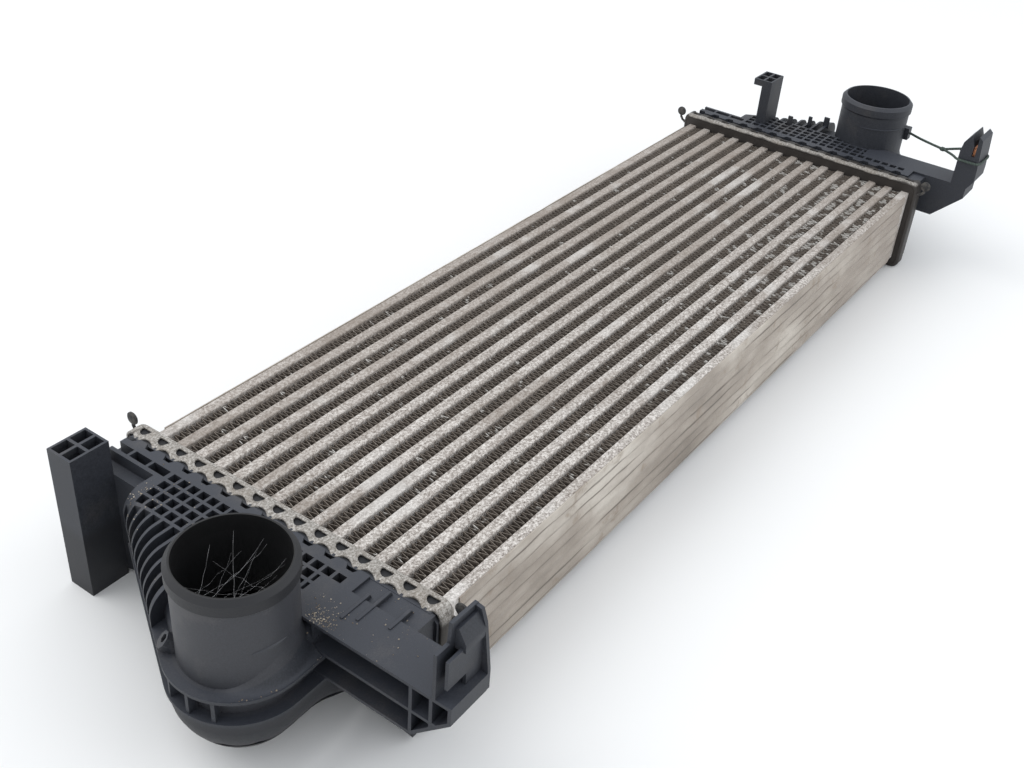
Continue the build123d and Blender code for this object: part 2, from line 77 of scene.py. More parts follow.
class Shade:
    """A material under construction: its tree, its main shader and the place on the object."""

    def __init__(self, name, roughness, metallic=0.0):
        self.material = bpy.data.materials.new(name)
        self.material.use_nodes = True
        self.tree = self.material.node_tree
        self.main = next(n for n in self.tree.nodes if n.type == "BSDF_PRINCIPLED")
        self.main.inputs["Roughness"].default_value = roughness
        self.main.inputs["Metallic"].default_value = metallic
        self.place = self.node("ShaderNodeTexCoord", {}, {}, "Object")

    def node(self, kind, settings, inputs, output=0):
        made = self.tree.nodes.new(kind)
        for key, value in settings.items():
            if key == "stops":
                for index, (position, colour) in enumerate(value):
                    if index > 1:
                        made.color_ramp.elements.new(position)
                    stop = made.color_ramp.elements[index]
                    stop.position = position
                    stop.color = (*colour, 1.0)
            else:
                setattr(made, key, value)
        for key, value in inputs.items():
            if isinstance(value, Wire):
                self.tree.links.new(value.socket, made.inputs[key])
            else:
                made.inputs[key].default_value = value
        return Wire(self, made.outputs[output])

    def stretch(self, x, y, z):
        return self.node("ShaderNodeVectorMath", {"operation": "MULTIPLY"},
                         {0: self.place, 1: (x, y, z)})

    def noise(self, size, detail=3.0, roughness=0.6, place=None):
        # size is the width of one blotch in metres
        return self.node("ShaderNodeTexNoise", {},
                         {"Vector": place or self.place, "Scale": 1.0 / size, "Detail": detail,
                          "Roughness": roughness}, "Fac")

    def step(self, value, low, high):
        return self.node("ShaderNodeMapRange", {"interpolation_type": "SMOOTHSTEP"},
                         {"Value": value, "From Min": low, "From Max": high})

    def colour(self, value, *stops):
        return self.node("ShaderNodeValToRGB", {"stops": stops}, {"Fac": value}, "Color")

    def mix(self, mask, first, second):
        ends = [value if isinstance(value, Wire) else (*value, 1.0) for value in (first, second)]
        return self.node("ShaderNodeMix", {"data_type": "RGBA"}, {0: mask, 6: ends[0], 7: ends[1]}, 2)

    def axis(self, letter):
        return self.node("ShaderNodeSeparateXYZ", {}, {0: self.place}, "XYZ".index(letter))

    def facing(self, letter):
        normal = self.node("ShaderNodeNewGeometry", {}, {}, "Normal")
        return self.node("ShaderNodeSeparateXYZ", {}, {0: normal}, "XYZ".index(letter))

    def feed(self, name, value):
        self.tree.links.new(value.socket, self.main.inputs[name])

    def bump(self, height, depth, strength=1.0):
        self.feed("Normal", self.node("ShaderNodeBump", {},
                                      {"Height": height, "Distance": depth, "Strength": strength}))


def add_piece(name, data, shade, slot, *nodes):
    """A new piece of the object, in metres, that rides on the body and may replace nodes."""
    data.materials.append(shade.material)
    piece = bpy.data.objects.new(name, data)
    bpy.context.scene.collection.objects.link(piece)
    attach(piece, "root")
    if nodes:
        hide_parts(*nodes)
    return piece


def add_mesh(name, corners, faces, shade, slot, *nodes):
    """A new piece made of corners and the faces between them."""
    mesh = bpy.data.meshes.new(name)
    mesh.from_pydata(corners, [], faces)
    mesh.update()
    return add_piece(name, mesh, shade, slot, *nodes)


def smooth(piece, degrees):
    """Shade a piece smooth, with edges kept sharp where its faces meet at more than the angle."""
    for face in piece.data.polygons:
        face.use_smooth = True
    piece.data.set_sharp_from_angle(angle=math.radians(degrees))


def net_faces(columns, rows, start=0):
    """Quads of a net whose corners run row by row within each column."""
    return [(start + i * (rows + 1) + j, start + i * (rows + 1) + j + 1,
             start + (i + 1) * (rows + 1) + j + 1, start + (i + 1) * (rows + 1) + j)
            for i in range(columns) for j in range(rows)]


tube_shade = Shade("weathered_tube", 0.62, 0.25)
tube_grain = tube_shade.noise(0.0016, 4.0, 0.8)
tube_blotch = tube_shade.noise(0.03, 4.0, 0.6, tube_shade.stretch(0.35, 1.0, 1.0))
tube_base = tube_shade.colour(tube_grain, (0.34, (0.15, 0.125, 0.108)), (0.48, (0.42, 0.382, 0.352)),
                              (0.62, (0.78, 0.745, 0.71)))
tube_dirt = tube_shade.step(tube_blotch, 0.46, 0.72)
tube_tone = tube_shade.mix(tube_dirt * 0.6, tube_base, (0.22, 0.178, 0.145))
tube_far = tube_shade.step(tube_shade.axis("Y") + tube_shade.axis("X") * 0.35, -0.10, 0.12)
tube_tone = tube_shade.mix(tube_far * 0.55, tube_tone, (0.27, 0.225, 0.19))
tube_pale = tube_shade.step(tube_shade.noise(0.05, 3.0), 0.52, 0.7)
tube_shade.feed("Base Color", tube_shade.mix(tube_pale * 0.4, tube_tone, (0.80, 0.785, 0.765)))
tube_shade.feed("Roughness", 0.5 + tube_grain * 0.35)
tube_shade.bump(tube_grain, 0.0004, 0.6)

tube_nodes = sorted(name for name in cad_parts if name.startswith("tube_"))
tube_edge = 0.0010
edge_parts = 4
tube_spans = 40
tube_wander = 0.00012
straight_end = 0.31
for name in tube_nodes:
    low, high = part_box(name)
    ring = []
    for y, z, start in ((high.y, high.z, 0), (low.y, high.z, 90), (low.y, low.z, 180),
                        (high.y, low.z, 270)):
        for part in range(edge_parts + 1):
            turn = math.radians(start + part * 90 / edge_parts)
            centre_y = y - tube_edge if y == high.y else y + tube_edge
            centre_z = z - tube_edge if z == high.z else z + tube_edge
            ring.append((centre_y + tube_edge * math.cos(turn), centre_z + tube_edge * math.sin(turn)))
    stations = [low.x + (high.x - low.x) * i / tube_spans for i in range(tube_spans + 1)]
    corners = []
    phase = random.Random(name).uniform(0, 6)
    for x in stations:
        shift = tube_wander * math.sin(x * 21 + phase) if abs(x) < straight_end else 0
        corners += [(x, y + shift, z) for y, z in ring]
    count = len(ring)
    faces = []
    for i in range(tube_spans):
        for j in range(count):
            a = i * count + j
            b = i * count + (j + 1) % count
            faces.append((a, b, b + count, a + count))
    smooth(add_mesh(name + "_shell", corners, faces, tube_shade, "tube_aluminium", name), 40)

# Turbulators: a folded strip inside each tube that stirs the air. They are brazed in and
# hidden by the tubes' walls, so they keep the shape of the solid model.

inner_shade = Shade("inner_strip", 0.4, 0.8)
inner_grain = inner_shade.noise(0.004, 2.0, 0.5, inner_shade.stretch(0.1, 1.0, 1.0))
inner_shade.feed("Base Color", inner_shade.colour(inner_grain, (0.3, (0.45, 0.43, 0.41)),
                                                  (0.7, (0.66, 0.65, 0.63))))
inner_shade.bump(inner_grain, 0.0001, 0.4)


def dress(name, shade):
    """Give a node of the solid model a better material."""
    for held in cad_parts[name].material_slots:
        held.material = shade.material


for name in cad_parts:
    if name.startswith("turbulator_"):
        dress(name, inner_shade)

# Fins: fourteen rows of thin aluminium strip folded into a tight zigzag and brazed between
# the tubes. Dirt has browned them nearly to black; a few edges are bent. The top edges are
# painted lighter, and the bent ones carry a painted highlight.

fin_shade = Shade("browned_fin", 0.6, 0.35)
fin_height = fin_shade.axis("Z")
fin_grain = fin_shade.noise(0.0014, 4.0, 0.7)
fin_patch = fin_shade.noise(0.035, 3.0, 0.6)
fin_base = fin_shade.colour(fin_grain * 0.7 + fin_patch * 0.3,
                            (0.32, (0.036, 0.027, 0.022)), (0.5, (0.105, 0.083, 0.068)),
                            (0.68, (0.24, 0.198, 0.165)))
# painted light: the fins' top edges are made lighter, more so in chipped spots
fin_top_light = fin_shade.step(fin_height, 0.0700, 0.0738)
fin_chip = fin_shade.step(fin_shade.noise(0.0035, 2.0, 0.5), 0.58, 0.72)
fin_near = fin_shade.step(fin_shade.axis("X") * 0.25 - fin_shade.axis("Y"), 0.0, 0.12)
# painted highlight: bright glints on a few bent top edges, more of them on the near side
fin_glint = fin_shade.step(fin_shade.noise(0.009, 2.0, 0.5) + fin_near * 0.13, 0.64, 0.70)
fin_lit = fin_shade.mix(fin_top_light * (0.2 + fin_chip * 0.5), fin_base, (0.40, 0.36, 0.315))
fin_lit = fin_shade.mix(fin_top_light * fin_glint, fin_lit, (0.62, 0.60, 0.57))
fin_shade.feed("Base Color", fin_lit)
fin_shade.feed("Roughness", 0.45 + fin_grain * 0.35)
fin_shade.bump(fin_grain, 0.0003, 0.5)

fin_nodes = sorted(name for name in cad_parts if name.startswith("fin_row_"))
fin_period = 0.00425
fin_thickness = 0.00042
fin_seat = 0.0003
fold_round = 0.13
bent_depth = 0.004
fold_scatter = 0.00016
reach_scatter = 0.00007
crest_scatter = 0.00025
lean_scatter = 0.00012
for name in fin_nodes:
    low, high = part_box(name)
    bend = random.Random(name)
    folds = int((high.x - low.x) / fin_period) * 2
    flank = (high.x - low.x - 2 * fin_seat) / folds
    line = []
    for fold in range(folds + 1):
        x = low.x + fin_seat + fold * flank
        x += bend.gauss(0, fold_scatter) if 0 < fold < folds else 0
        y = high.y - fin_seat if fold % 2 else low.y + fin_seat
        y -= (1 if fold % 2 else -1) * abs(bend.gauss(0, reach_scatter))
        line.append((x, y))
    path = []
    for i, (x, y) in enumerate(line):
        if 0 < i < len(line) - 1:
            for other in (line[i - 1], line[i + 1]):
                path.append((x + (other[0] - x) * fold_round, y + (other[1] - y) * fold_round * 0.5))
        else:
            path.append((x, y))
    corners = []
    faces = []
    for i, (x, y) in enumerate(path):
        before = path[max(i - 1, 0)]
        after = path[min(i + 1, len(path) - 1)]
        along = Vector((after[0] - before[0], after[1] - before[1])).normalized()
        side = Vector((-along.y, along.x)) * fin_thickness / 2
        crest = high.z - abs(bend.gauss(0, crest_scatter))
        lean = bend.gauss(0, lean_scatter)
        corners += [(x + side.x + lean, y + side.y, crest), (x - side.x + lean, y - side.y, crest),
                    (x + side.x, y + side.y, high.z - bent_depth),
                    (x - side.x, y - side.y, high.z - bent_depth),
                    (x + side.x, y + side.y, low.z), (x - side.x, y - side.y, low.z)]
    for i in range(len(path) - 1):
        a = i * 6
        b = a + 6
        faces += [(a, b, b + 1, a + 1), (a, a + 2, b + 2, b), (a + 1, b + 1, b + 3, a + 3),
                  (a + 2, a + 4, b + 4, b + 2), (a + 3, b + 3, b + 5, a + 5), (a + 4, a + 5, b + 5, b + 4)]
    add_mesh(name + "_zigzag", corners, faces, fin_shade, "fin_aluminium", name)

# Side plates: thin rolled sheets brazed on the outermost tubes, with shallow lengthwise
# ridges. Corrosion has browned and streaked them along the ridges, and stones have dented them.

plate_ridges = 7
plate_low, plate_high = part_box("side_plate_right")
ridge_pitch = (plate_high.z - plate_low.z) / plate_ridges
plate_shade = Shade("stained_plate", 0.6, 0.3)
plate_height = plate_shade.axis("Z")
plate_long = plate_shade.stretch(0.06, 1.0, 1.0)
plate_streak = plate_shade.noise(0.006, 5.0, 0.65, plate_long)
plate_cloud = plate_shade.noise(0.05, 5.0, 0.6, plate_shade.stretch(0.45, 1.0, 1.0))
plate_grain = plate_shade.noise(0.0012, 3.0, 0.7)
plate_base = plate_shade.colour(plate_cloud, (0.30, (0.24, 0.205, 0.172)), (0.5, (0.40, 0.352, 0.305)),
                                (0.70, (0.62, 0.575, 0.515)))
plate_turn = (plate_height - plate_low.z - ridge_pitch / 2) * (2 * math.pi / ridge_pitch)
plate_wave = plate_shade.node("ShaderNodeMath", {"operation": "SINE"}, {0: plate_turn})
plate_crack = plate_shade.noise(0.0028, 5.0, 0.7, plate_shade.stretch(0.05, 1.0, 1.0))
plate_line = plate_shade.step(plate_wave * -0.35 + plate_streak * 1.2 + plate_crack * 1.2, 1.42, 1.72)
plate_tone = plate_shade.mix(plate_line * 0.85, plate_base, (0.11, 0.09, 0.072))
plate_far = plate_shade.step(plate_shade.axis("X"), 0.12, 0.32)
plate_tone = plate_shade.mix(plate_far * 0.45, plate_tone, (0.27, 0.225, 0.195))
plate_rust = plate_shade.step(plate_shade.noise(0.018, 4.0, 0.7), 0.56, 0.7)
plate_tone = plate_shade.mix(plate_rust * 0.55, plate_tone, (0.28, 0.222, 0.17))
plate_tone = plate_shade.mix(plate_shade.step(plate_grain, 0.55, 0.75) * 0.3, plate_tone,
                             (0.20, 0.17, 0.14))
plate_shade.feed("Base Color", plate_tone)
plate_shade.feed("Roughness", 0.45 + plate_cloud * 0.3)
plate_shade.bump(plate_grain * 0.3 + plate_streak * 0.5 + plate_crack * 0.8, 0.0009, 0.8)

plate_sheet = 0.0009
thinnest = 0.0002
dent_count = 26
columns = 220
rows = 56
for name, hand in (("side_plate_right", -1), ("side_plate_left", 1)):
    low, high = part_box(name)
    back = high.y if hand < 0 else low.y
    front = low.y if hand < 0 else high.y
    dents = random.Random(name)
    hollows = [(dents.uniform(low.x, high.x), dents.uniform(low.z, high.z), dents.uniform(0.004, 0.012),
                dents.uniform(0.0002, 0.0007)) for dent in range(dent_count)]
    corners = []
    for i in range(columns + 1):
        x = low.x + (high.x - low.x) * i / columns
        for j in range(rows + 1):
            z = low.z + (high.z - low.z) * j / rows
            wave = 0.5 - 0.5 * math.cos(2 * math.pi * (z - low.z) / ridge_pitch)
            crest = plate_sheet + (abs(front - back) - plate_sheet) * wave ** 0.8
            for hx, hz, size, depth in hollows:
                away = math.hypot(x - hx, (z - hz) * 1.6) / size
                crest -= depth * math.exp(-away * away) if away < 2.5 else 0
            crest -= 0.00012 * (1 + noise.noise(Vector((x * 60, 3.0, z * 160))))
            corners.append((x, back + hand * max(crest, thinnest), z))
    faces = net_faces(columns, rows)
    if hand < 0:
        faces = [tuple(reversed(face)) for face in faces]
    base = len(corners)
    corners += [(low.x, back, low.z), (low.x, back, high.z), (high.x, back, high.z), (high.x, back, low.z)]
    faces.append((base, base + 1, base + 2, base + 3))
    faces.append(tuple([base, base + 3] + [i * (rows + 1) for i in range(columns, -1, -1)]))
    faces.append(tuple([base + 2, base + 1] + [i * (rows + 1) + rows for i in range(columns + 1)]))
    faces.append(tuple([base + 1, base] + list(range(rows + 1))))
    faces.append(tuple([base + 3, base + 2] + [columns * (rows + 1) + j for j in range(rows, -1, -1)]))
    smooth(add_mesh(name + "_sheet", corners, faces, plate_shade, "side_plate_aluminium", name), 35)

# Headers: deep drawn aluminium trays that hold the tube ends. The rim is crimped over the
# foot of the plastic tank, so it runs in scallops, with a dished window behind every bulge.


def header_metal(name, dark):
    """Drawn aluminium, darkened below its top by painted shade and grime, or grimy nearly all over but for a
    worn band with a painted highlight.
    """
    made = Shade(name, 0.5, 0.3)
    grain = made.noise(0.0014, 4.0, 0.8)
    cloud = made.noise(0.016, 4.0, 0.6)
    height = made.axis("Z")
    tone = made.colour(grain, (0.33, (0.12, 0.105, 0.09)), (0.49, (0.31, 0.288, 0.262)),
                       (0.64, (0.60, 0.578, 0.55)))
    tone = made.mix(made.step(cloud, 0.48, 0.68) * 0.45, tone, (0.22, 0.185, 0.15))
    if dark:
        # only a band along the top of the bend stays light: worn bare metal with a painted highlight
        bend = made.step(made.axis("X"), 0.3365, 0.3395)
        worn_lit_band = made.step(height + cloud * 0.006, 0.0845, 0.0862) * (1.0 - bend)
        tone = made.mix(1.0 - worn_lit_band * 0.8, tone, (0.034, 0.029, 0.026))
    else:
        # painted shade and grime: darker below the top of the tray
        tone = made.mix(1.0 - made.step(height + cloud * 0.01, 0.078, 0.084), tone,
                        (0.05, 0.044, 0.038))
    made.feed("Base Color", tone)
    made.feed("Roughness", 0.38 + grain * 0.35)
    made.bump(grain, 0.0003, 0.5)
    return made


header_metals = {"inlet_header": header_metal("drawn_header", False),
                 "outlet_header": header_metal("grimy_header", True)}


def fill_sheet(loops, grid):
    """Triangles of a flat sheet: the first loop is its outline, the others are holes."""
    points = []
    edges = []
    for loop in loops:
        first = len(points)
        points += [Vector(p) for p in loop]
        edges += [(first + i, first + (i + 1) % len(loop)) for i in range(len(loop))]
    points += [Vector(p) for p in grid]
    flat, _, triangles, _, _, _ = geometry.delaunay_2d_cdt(points, edges, [], 0, 1e-7)

    def inside(p, loop):
        hit = False
        for i in range(len(loop)):
            (ax, ay), (bx, by) = loop[i - 1], loop[i]
            if (ay > p[1]) != (by > p[1]) and p[0] < (bx - ax) * (p[1] - ay) / (by - ay) + ax:
                hit = not hit
        return hit

    spans = [(min(x for x, y in loop), max(x for x, y in loop), loop) for loop in loops[1:]]
    kept = []
    for triangle in triangles:
        middle = sum((flat[i] for i in triangle), Vector((0, 0))) / 3
        if not inside(middle, loops[0]):
            continue
        if any(a <= middle.x <= b and inside(middle, loop) for a, b, loop in spans):
            continue
        kept.append(tuple(triangle))
    return flat, kept


def thicken(piece):
    """Turn the drawn surface of a header into sheet of its real thickness."""
    thick = piece.modifiers.new("sheet", "SOLIDIFY")
    thick.thickness = header_sheet
    thick.offset = -1.0


header_sheet = 0.0015
header_corner = 0.006
header_bend = 0.003
bite_radius = 0.0085
bite_centre = 0.0061
bite_half = 0.0059
window_foot = 0.0040
window_half = 0.0036
window_spring = 0.0046
window_round = 0.0041
window_rise = 0.0044
dish_start = 0.0062
dish_length = 0.0052
dish_depth = 0.0019
rim_lap = 0.0012
slot_gap = 0.0001
edge_steps = 460
foot_steps = 90
grid_columns = 200
grid_rows = 6
grid_pitch = 0.0016
grid_margin = 0.0006
corner_parts = 6
tube_middles = [(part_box(name)[0].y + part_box(name)[1].y) / 2 for name in tube_nodes]
pitch = tube_middles[1] - tube_middles[0]
for name, side in (("inlet_header", -1), ("outlet_header", 1)):
    low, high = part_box(name)
    header_shade = header_metals[name]
    inner = high.x if side < 0 else low.x
    depth = high.x - low.x
    middle_y = (low.y + high.y) / 2
    half_y = (high.y - low.y) / 2
    half_z = (high.z - low.z) / 2
    middle_z = low.z + half_z

    def rim(across):
        """How far out the wavy edge reaches: a shallow bite lies between each two tubes."""
        nearest = min(abs(across - (m + pitch / 2 * way)) for m in tube_middles for way in (-1, 1))
        if nearest < bite_half:
            return depth - (math.sqrt(bite_radius ** 2 - nearest ** 2) - bite_centre)
        return depth

    for level, up in ((high.z, 1), (low.z, -1)):
        start = low.y + header_corner
        end = high.y - header_corner
        outline = [(start + (end - start) * i / foot_steps, header_bend) for i in range(foot_steps + 1)]
        outline += [(y, rim(y)) for y in (end + (start - end) * i / edge_steps
                                          for i in range(edge_steps + 1))]
        holes = []
        for m in tube_middles:
            ring = [(m - window_half, window_foot), (m + window_half, window_foot)]
            ring += [(m + window_round * math.cos(math.radians(a)),
                      window_spring + window_rise * math.sin(math.radians(a))) for a in range(0, 181, 20)]
            holes.append(ring)
        # inner points give the sheet room to dish, and keep clear of its edge and windows
        grid = [(start + (end - start) * (i + 0.5) / grid_columns, header_bend + grid_pitch * (j + 0.5))
                for i in range(grid_columns) for j in range(grid_rows)]
        grid = [(y, u) for y, u in grid if u < rim(y) - grid_margin and
                not any(abs(y - m) < window_round + grid_margin and
                        window_foot - grid_margin < u < window_spring + window_rise + grid_margin
                        for m in tube_middles)]
        flat, triangles = fill_sheet([outline] + holes, grid)
        corners = []
        for y, u in flat:
            nearest = min(tube_middles, key=lambda m: abs(m - y))
            away = (y - nearest) / (pitch / 2)
            share = max(0.0, min(1.0, (u - dish_start) / dish_length))
            press = dish_depth * math.exp(-(away * 1.9) ** 2) * share * share * (3 - 2 * share)
            corners.append((inner + side * u, y, level - up * press))
        if (side > 0) == (up > 0):
            triangles = [tuple(reversed(t)) for t in triangles]
        piece = add_mesh(f"{name}_crimp_{'top' if up > 0 else 'bottom'}", corners, triangles,
                         header_shade, "header_aluminium", name)
        thicken(piece)
        smooth(piece, 40)

    # the bend, the corners and the two short sides, swept round the tray
    ring = []
    for cy, cz, start in ((1, 1, 0), (-1, 1, 90), (-1, -1, 180), (1, -1, 270)):
        for part in range(corner_parts + 1):
            turn = math.radians(start + part * 90 / corner_parts)
            ring.append((middle_y + cy * (half_y - header_corner) + header_corner * math.cos(turn),
                         middle_z + cz * (half_z - header_corner) + header_corner * math.sin(turn)))
    layers = [(header_bend * (1 - math.sin(math.radians(a))), header_bend * (1 - math.cos(math.radians(a))))
              for a in (90, 72, 54, 36, 18, 0)]
    corners = []
    for u, inset in layers + [(depth - rim_lap, 0.0)]:
        for y, z in ring:
            corners.append((inner + side * u, middle_y + (y - middle_y) * (1 - inset / half_y),
                            middle_z + (z - middle_z) * (1 - inset / half_z)))
    count = len(ring)
    faces = []
    for layer in range(len(layers)):
        for j in range(count):
            # the crimped sheets already close the two long sides
            long_side = j % (2 * (corner_parts + 1)) == corner_parts
            if layer == len(layers) - 1 and long_side:
                continue
            a = layer * count + j
            b = layer * count + (j + 1) % count
            quad = (a, b, b + count, a + count)
            faces.append(quad if side > 0 else tuple(reversed(quad)))
    piece = add_mesh(name + "_bend", corners, faces, header_shade, "header_aluminium", name)
    thicken(piece)
    smooth(piece, 40)

    # the flat bed, pierced for the tubes
    loop = [(middle_y + (y - middle_y) * (1 - header_bend / half_y),
             middle_z + (z - middle_z) * (1 - header_bend / half_z)) for y, z in ring]
    tube_low, tube_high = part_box(tube_nodes[0])
    half_slot = (tube_high.y - tube_low.y) / 2 + slot_gap
    slot_low = tube_low.z - slot_gap
    slot_high = tube_high.z + slot_gap
    slots = [[(m - half_slot, slot_low), (m + half_slot, slot_low), (m + half_slot, slot_high),
              (m - half_slot, slot_high)] for m in tube_middles]
    flat, triangles = fill_sheet([loop] + slots, [])
    corners = [(inner, y, z) for y, z in flat]
    if side > 0:
        triangles = [tuple(reversed(t)) for t in triangles]
    thicken(add_mesh(name + "_bed", corners, triangles, header_shade, "header_aluminium", name))

# Gaskets: flat rubber rings pressed between header and tank foot. A small round pull ear
# stands above each upper corner on a thin neck.

rubber_shade = Shade("black_rubber", 0.7)
rubber_dust = rubber_shade.noise(0.004, 4.0, 0.7)
rubber_shade.feed("Base Color", rubber_shade.colour(rubber_dust, (0.4, (0.016, 0.016, 0.018)),
                                                    (0.7, (0.10, 0.092, 0.082))))
rubber_shade.feed("Roughness", 0.55 + rubber_dust * 0.3)
rubber_shade.bump(rubber_dust, 0.0002, 0.5)


def copy_node(name):
    """A free copy of a node's mesh in the shared frame, to be reshaped."""
    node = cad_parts[name]
    copied = bmesh.new()
    copied.from_mesh(node.data)
    copied.transform(node.matrix_world)
    return copied


def take(shape):
    """The corners and faces of a finished shape."""
    shape.verts.index_update()
    points = [tuple(vert.co) for vert in shape.verts]
    polygons = [tuple(vert.index for vert in face.verts) for face in shape.faces]
    shape.free()
    return points, polygons


ring_middle = 0.3356
ring_reach = 0.0012
ear_level = 0.0838
ear_spokes = 24
ear_profile = ((0.0034, -0.0011), (0.0042, -0.0005), (0.0042, 0.0005), (0.0034, 0.0011))
stub_level = 0.0746
neck_spokes = 8
neck_half_width = 0.0012
neck_half_depth = 0.0010
for name, side in (("inlet_gasket", -1), ("outlet_gasket", 1)):
    middle = side * ring_middle
    shape = copy_node(name)
    plain_ears = [vert for vert in shape.verts if abs(vert.co.x - middle) > ring_reach]
    bmesh.ops.delete(shape, geom=plain_ears, context="VERTS")
    corners, faces = take(shape)
    for stub, across in ((-0.1025, -0.1075), (0.1351, 0.1395)):
        # the ear is a disc with softened edges
        base = len(corners)
        count = len(ear_profile)
        for spoke in range(ear_spokes):
            turn = 2 * math.pi * spoke / ear_spokes
            corners += [(middle + shift, across + radius * math.cos(turn),
                         ear_level + radius * math.sin(turn)) for radius, shift in ear_profile]
        for i in range(ear_spokes):
            a = base + count * i
            b = base + count * ((i + 1) % ear_spokes)
            faces += [(a + j, a + j + 1, b + j + 1, b + j) for j in range(count - 1)]
        faces.append(tuple(base + count * i for i in range(ear_spokes)))
        faces.append(tuple(base + count * i + count - 1 for i in reversed(range(ear_spokes))))

        # the neck runs out from the ring and bends up to the ear
        base = len(corners)
        path = ((stub, stub_level), (stub + (across - stub) * 0.55, stub_level + 0.0011),
                (across, ear_level - 0.0053), (across, ear_level - 0.0033))
        for k, (y, z) in enumerate(path):
            before = path[max(0, k - 1)]
            after = path[min(len(path) - 1, k + 1)]
            run = Vector((after[0] - before[0], after[1] - before[1])).normalized()
            for spoke in range(neck_spokes):
                turn = 2 * math.pi * spoke / neck_spokes
                reach = neck_half_width * math.cos(turn)
                corners.append((middle + neck_half_depth * math.sin(turn), y - run.y * reach,
                                z + run.x * reach))
        for k in range(len(path) - 1):
            a = base + neck_spokes * k
            faces += [(a + i, a + (i + 1) % neck_spokes, a + neck_spokes + (i + 1) % neck_spokes,
                       a + neck_spokes + i) for i in range(neck_spokes)]
    smooth(add_mesh(name + "_rubber", corners, faces, rubber_shade, "black_rubber", name), 40)

# Tanks: one-piece mouldings in glass-filled nylon that spread the air from the hose neck over
# the tube ends. The matt surface looks slate grey under soft light, with brown dust in places.

neck_out = 0.4084
neck_across = -0.0247
plastic_shade = Shade("slate_nylon", 0.55)
plastic_grain = plastic_shade.noise(0.0010, 4.0, 0.7)
plastic_cloud = plastic_shade.noise(0.035, 4.0, 0.6)
plastic_up = plastic_shade.step(plastic_shade.facing("Z"), 0.5, 0.95)
plastic_dust = plastic_shade.step(plastic_cloud + plastic_grain * 0.35, 0.66, 0.92)
plastic_base = plastic_shade.colour(plastic_grain, (0.35, (0.0125, 0.0142, 0.0195)),
                                    (0.65, (0.029, 0.0325, 0.042)))
plastic_tone = plastic_shade.mix(plastic_dust * (0.12 + plastic_up * 0.25), plastic_base,
                                 (0.16, 0.137, 0.11))
# painted light: faces that look up are made a lighter blue-grey
plastic_tone = plastic_shade.mix(plastic_up * 0.45, plastic_tone, (0.052, 0.058, 0.076))
# painted shade: the underside of the bowl near the floor is made nearly black
bowl_shadow = 1.0 - plastic_shade.step(plastic_shade.axis("Z"), 0.040, 0.050)
plastic_tone = plastic_shade.mix(bowl_shadow * 0.6, plastic_tone, (0.006, 0.0062, 0.008))
# painted shade: nearly black where the header's rim shades the plastic, and down the inlet's bore
from_core = plastic_shade.axis("X") * plastic_shade.axis("X")
under_rim = plastic_shade.step(from_core, 0.1175, 0.1196)
plastic_tone = plastic_shade.mix((1.0 - under_rim) * 0.85, plastic_tone, (0.004, 0.004, 0.005))
# the neck is told by the square of the distance from its axis, in thousandths of a square metre
off_axis = plastic_shade.axis("X") + neck_out
across_axis = plastic_shade.axis("Y") - neck_across
neck_reach = (off_axis * off_axis + across_axis * across_axis) * 1000.0
in_neck = 1.0 - plastic_shade.step(neck_reach, 1.08, 1.12)
bore_shadow = 1.0 - plastic_shade.step(neck_reach, 0.85, 0.88)
rim_band = plastic_shade.step(plastic_shade.axis("Z"), 0.1138, 0.1146)
plastic_tone = plastic_shade.mix(in_neck * (0.25 + plastic_dust * 0.35), plastic_tone, (0.066, 0.064, 0.068))
plastic_tone = plastic_shade.mix(in_neck * rim_band * 0.9, plastic_tone, (0.006, 0.0065, 0.009))
# painted shade: the bore is made nearly black
plastic_tone = plastic_shade.mix(bore_shadow * 0.93, plastic_tone, (0.002, 0.002, 0.0025))
plastic_shade.feed("Base Color", plastic_tone)
plastic_shade.feed("Roughness", 0.42 + plastic_grain * 0.3)
plastic_shade.bump(plastic_grain, 0.0002, 0.4)

core_half = 0.333
tank_foot = 0.3455
bowl_floor = 0.004
bowl_top = 0.0455
bowl_rim = 0.0481
bowl_side = 0.0885
bracket_out = 0.057
bracket_across = -0.065
bowl_reach = 0.0365
bowl_foot = 0.0135
bowl_rise = 0.023
bowl_round = 0.024
scoop_floor = 0.014
scoop_start = 0.014
scoop_run = 0.045
bowl_lean = math.radians(30.8)


def ease(share):
    """A share from 0 to 1 that starts and ends gently."""
    share = max(0.0, min(1.0, share))
    return share * share * (3 - 2 * share)


def scoop_level(out, across):
    """How high the underside of the bowl lies, so far out from the core and so far across."""
    away = Vector((out - (neck_out - core_half), across - neck_across))
    slant = bowl_reach - (away.x * math.cos(bowl_lean) + away.y * math.sin(bowl_lean))
    edge = min(slant, away.y + bowl_reach)
    if away.x > 0 and math.atan2(away.y, away.x) < bowl_lean:
        edge = bowl_reach - away.length
    edge = max(0.0, min(1.0, edge / bowl_round))
    level = scoop_floor + bowl_rise * (1 - math.sqrt(max(0.0, 1 - (1 - edge) ** 2)))
    return bowl_floor + (level - bowl_floor) * ease((out - scoop_start) / scoop_run)


